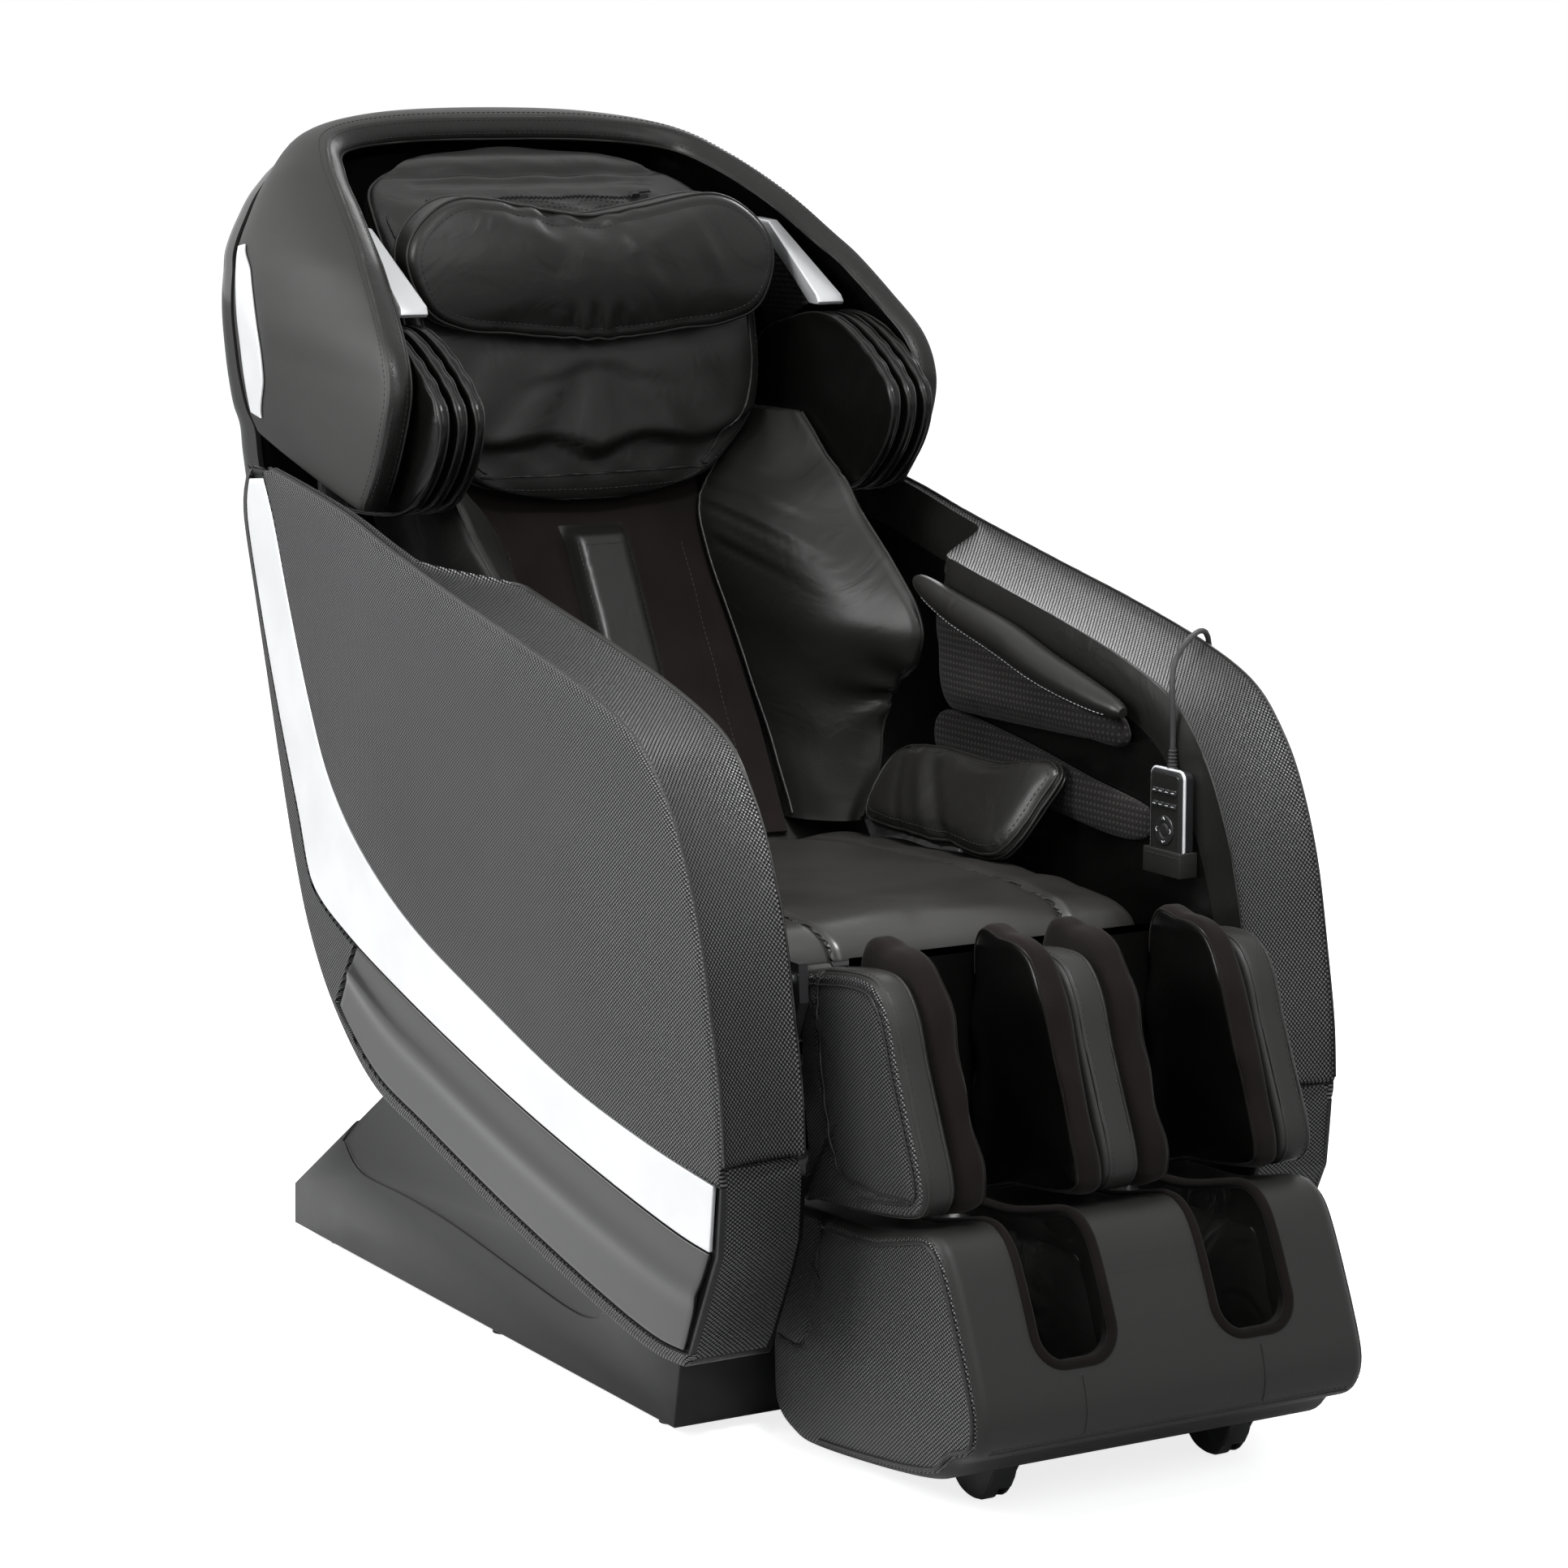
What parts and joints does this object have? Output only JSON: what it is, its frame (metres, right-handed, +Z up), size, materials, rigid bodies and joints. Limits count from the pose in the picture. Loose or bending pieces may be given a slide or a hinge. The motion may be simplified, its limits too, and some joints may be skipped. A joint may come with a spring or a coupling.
{
  "type": "massage chair",
  "caption": "Reclining massage chair with wide padded arms, a hood over the headrest, calf and foot rests, a sloped base and a corded handset.",
  "frame": {"origin": "on the floor, under the middle of the chair's width and length", "axes": "+Z up, sitter faces -Y, +X is the sitter's left"},
  "size_m": [0.7643, 1.5091, 1.2913],
  "materials": {
    "vinyl_weave": "embossed woven-look vinyl",
    "leather_black": "smooth soft artificial leather",
    "suede_brown": "brushed suede-like fabric",
    "mesh_black": "perforated spacer mesh",
    "silver_trim": "satin silver",
    "gloss_black": "gloss",
    "plastic_black": "satin",
    "steel_black": "black paint",
    "steel_bright": "bright",
    "rubber_black": "matt",
    "motor_grey": "grey paint",
    "key_grey": "printed"
  },
  "bodies": {
    "base": {"base_frame": "steel_black", "base_cover": "gloss_black"},
    "rear_wheel_right": {"rear_wheel_right": "rubber_black"},
    "rear_wheel_left": {"rear_wheel_left": "rubber_black"},
    "power_switch": {"power_switch": "plastic_black"},
    "seat": {"seat_frame": "steel_black", "side_panel_right": "vinyl_weave", "side_panel_left": "vinyl_weave", "side_stripe_right": "silver_trim", "side_stripe_left": "silver_trim", "lower_panel_right": "gloss_black", "lower_panel_left": "gloss_black", "arm_pad_right": "mesh_black", "arm_pad_left": "mesh_black", "seat_cushion": "leather_black", "hip_wing_right": "leather_black", "hip_wing_left": "leather_black", "remote_pocket": "leather_black", "handset_body": "plastic_black", "handset_cord": "rubber_black", "cord_gland": "plastic_black"},
    "key_row_upper": {"key_row_upper": "key_grey"},
    "key_row_lower": {"key_row_lower": "key_grey"},
    "direction_pad": {"direction_pad": "key_grey"},
    "back": {"back_frame": "steel_black", "back_cover": "gloss_black", "head_shell": "leather_black", "shell_stripe_right": "silver_trim", "shell_stripe_left": "silver_trim", "speaker_right": "silver_trim", "speaker_left": "silver_trim", "shoulder_airbag_right": "leather_black", "shoulder_airbag_left": "leather_black", "head_pillow": "leather_black", "neck_pad": "leather_black", "back_cushion_right": "leather_black", "back_cushion_left": "leather_black", "back_centre_pad": "suede_brown"},
    "carriage": {"roller_carriage": "motor_grey"},
    "massage_arm_right": {"massage_arm_right": "steel_bright"},
    "massage_arm_left": {"massage_arm_left": "steel_bright"},
    "roller_lower_right": {"roller_lower_right": "rubber_black"},
    "roller_upper_right": {"roller_upper_right": "rubber_black"},
    "roller_lower_left": {"roller_lower_left": "rubber_black"},
    "roller_upper_left": {"roller_upper_left": "rubber_black"},
    "calf_rest": {"calf_housing": "leather_black", "calf_pad_right_outer": "leather_black", "calf_pad_right_inner": "leather_black", "calf_pad_left_inner": "leather_black", "calf_pad_left_outer": "leather_black"},
    "foot_rest": {"foot_housing": "leather_black"},
    "foot_roller": {"foot_roller_shaft": "rubber_black"},
    "foot_caster_right": {"foot_caster_right": "rubber_black"},
    "foot_caster_left": {"foot_caster_left": "rubber_black"},
    "recline_tube": {"recline_actuator_body": "motor_grey"},
    "recline_stem": {"recline_actuator_rod": "steel_bright"},
    "leg_tube": {"leg_actuator_body": "motor_grey"},
    "leg_stem": {"leg_actuator_rod": "steel_bright"},
    "tilt_tube": {"tilt_actuator_body": "motor_grey"},
    "tilt_stem": {"tilt_actuator_rod": "steel_bright"}
  },
  "joints": [
    {"name": "seat_tilt", "type": "hinge", "parent": "base", "child": "seat", "pos_m": [0, 0.12, 0.27], "axis": [-1, 0, 0], "range_deg": [0, 18]},
    {"name": "back_recline", "type": "hinge", "parent": "seat", "child": "back", "pos_m": [0, 0.27, 0.36], "axis": [-1, 0, 0], "range_deg": [0, 40]},
    {"name": "calf_lift", "type": "hinge", "parent": "seat", "child": "calf_rest", "pos_m": [0, -0.44, 0.478], "axis": [-1, 0, 0], "range_deg": [0, 85]},
    {"name": "foot_slide", "type": "slide", "parent": "calf_rest", "child": "foot_rest", "axis": [0, 0, -1], "range_m": [0, 0.12]},
    {"name": "foot_roller_spin", "type": "hinge", "parent": "foot_rest", "child": "foot_roller", "pos_m": [0, -0.6, 0.064], "axis": [1, 0, 0], "continuous": true},
    {"name": "foot_caster_spin_right", "type": "hinge", "parent": "foot_rest", "child": "foot_caster_right", "pos_m": [-0.136, -0.633, 0.016], "axis": [1, 0, 0], "continuous": true},
    {"name": "rear_wheel_spin_right", "type": "hinge", "parent": "base", "child": "rear_wheel_right", "pos_m": [-0.273, 0.52, 0.026], "axis": [1, 0, 0], "continuous": true},
    {"name": "foot_caster_spin_left", "type": "hinge", "parent": "foot_rest", "child": "foot_caster_left", "pos_m": [0.136, -0.633, 0.016], "axis": [1, 0, 0], "continuous": true},
    {"name": "rear_wheel_spin_left", "type": "hinge", "parent": "base", "child": "rear_wheel_left", "pos_m": [0.273, 0.52, 0.026], "axis": [1, 0, 0], "continuous": true},
    {"name": "power_switch_press", "type": "slide", "parent": "base", "child": "power_switch", "axis": [0, -1, 0], "range_m": [0, 0.002], "stiffness_N_per_m": 400},
    {"name": "key_row_upper_press", "type": "slide", "parent": "seat", "child": "key_row_upper", "axis": [1, 0, 0], "range_m": [0, 0.001], "stiffness_N_per_m": 300},
    {"name": "key_row_lower_press", "type": "slide", "parent": "seat", "child": "key_row_lower", "axis": [1, 0, 0], "range_m": [0, 0.001], "stiffness_N_per_m": 300},
    {"name": "direction_pad_press", "type": "slide", "parent": "seat", "child": "direction_pad", "axis": [1, 0, 0], "range_m": [0, 0.001], "stiffness_N_per_m": 300},
    {"name": "carriage_travel", "type": "slide", "parent": "back", "child": "carriage", "axis": [0, 0.4848, 0.8746], "range_m": [-0.12, 0.2]},
    {"name": "massage_arm_swing_right", "type": "hinge", "parent": "carriage", "child": "massage_arm_right", "pos_m": [-0.076, 0.36969, 0.6368], "axis": [-1, 0, 0], "range_deg": [-12, 12]},
    {"name": "roller_spin_lower_right", "type": "hinge", "parent": "massage_arm_right", "child": "roller_lower_right", "pos_m": [-0.09, 0.33253, 0.59452], "axis": [1, 0, 0], "continuous": true},
    {"name": "roller_spin_upper_right", "type": "hinge", "parent": "massage_arm_right", "child": "roller_upper_right", "pos_m": [-0.09, 0.38586, 0.69073], "axis": [1, 0, 0], "continuous": true},
    {"name": "massage_arm_swing_left", "type": "hinge", "parent": "carriage", "child": "massage_arm_left", "pos_m": [0.076, 0.36969, 0.6368], "axis": [-1, 0, 0], "range_deg": [-12, 12]},
    {"name": "roller_spin_lower_left", "type": "hinge", "parent": "massage_arm_left", "child": "roller_lower_left", "pos_m": [0.09, 0.33253, 0.59452], "axis": [1, 0, 0], "continuous": true},
    {"name": "roller_spin_upper_left", "type": "hinge", "parent": "massage_arm_left", "child": "roller_upper_left", "pos_m": [0.09, 0.38586, 0.69073], "axis": [1, 0, 0], "continuous": true},
    {"name": "recline_swing", "type": "hinge", "parent": "seat", "child": "recline_tube", "pos_m": [0.044, -0.12, 0.325], "axis": [1, 0, 0], "range_deg": [0, 1.94]},
    {"name": "recline_stroke", "type": "slide", "parent": "recline_tube", "child": "recline_stem", "axis": [0, -0.9976, 0.0691], "range_m": [0, 0.04076]},
    {"name": "leg_swing", "type": "hinge", "parent": "seat", "child": "leg_tube", "pos_m": [-0.12, -0.03, 0.3], "axis": [-1, 0, 0], "range_deg": [0, 3.46]},
    {"name": "leg_stroke", "type": "slide", "parent": "leg_tube", "child": "leg_stem", "axis": [0, -0.9806, 0.1961], "range_m": [0, 0.1447]},
    {"name": "tilt_swing", "type": "hinge", "parent": "base", "child": "tilt_tube", "pos_m": [-0.05, -0.24, 0.052], "axis": [-1, 0, 0], "range_deg": [0, 3.42]},
    {"name": "tilt_stroke", "type": "slide", "parent": "tilt_tube", "child": "tilt_stem", "axis": [0, 0.1385, 0.9904], "range_m": [0, 0.1006]}
  ],
  "couplings": [
    {"joint": "foot_slide", "follows": "calf_lift", "m_per_rad": 0.08088},
    {"joint": "massage_arm_swing_left", "follows": "massage_arm_swing_right", "ratio": -1},
    {"joint": "recline_swing", "follows": "back_recline", "ratio": 0.04792},
    {"joint": "recline_stroke", "follows": "back_recline", "m_per_rad": 0.0581},
    {"joint": "leg_swing", "follows": "calf_lift", "ratio": 0.04047},
    {"joint": "leg_stroke", "follows": "calf_lift", "m_per_rad": 0.0974},
    {"joint": "tilt_swing", "follows": "seat_tilt", "ratio": 0.18893},
    {"joint": "tilt_stroke", "follows": "seat_tilt", "m_per_rad": 0.31959}
  ]
}
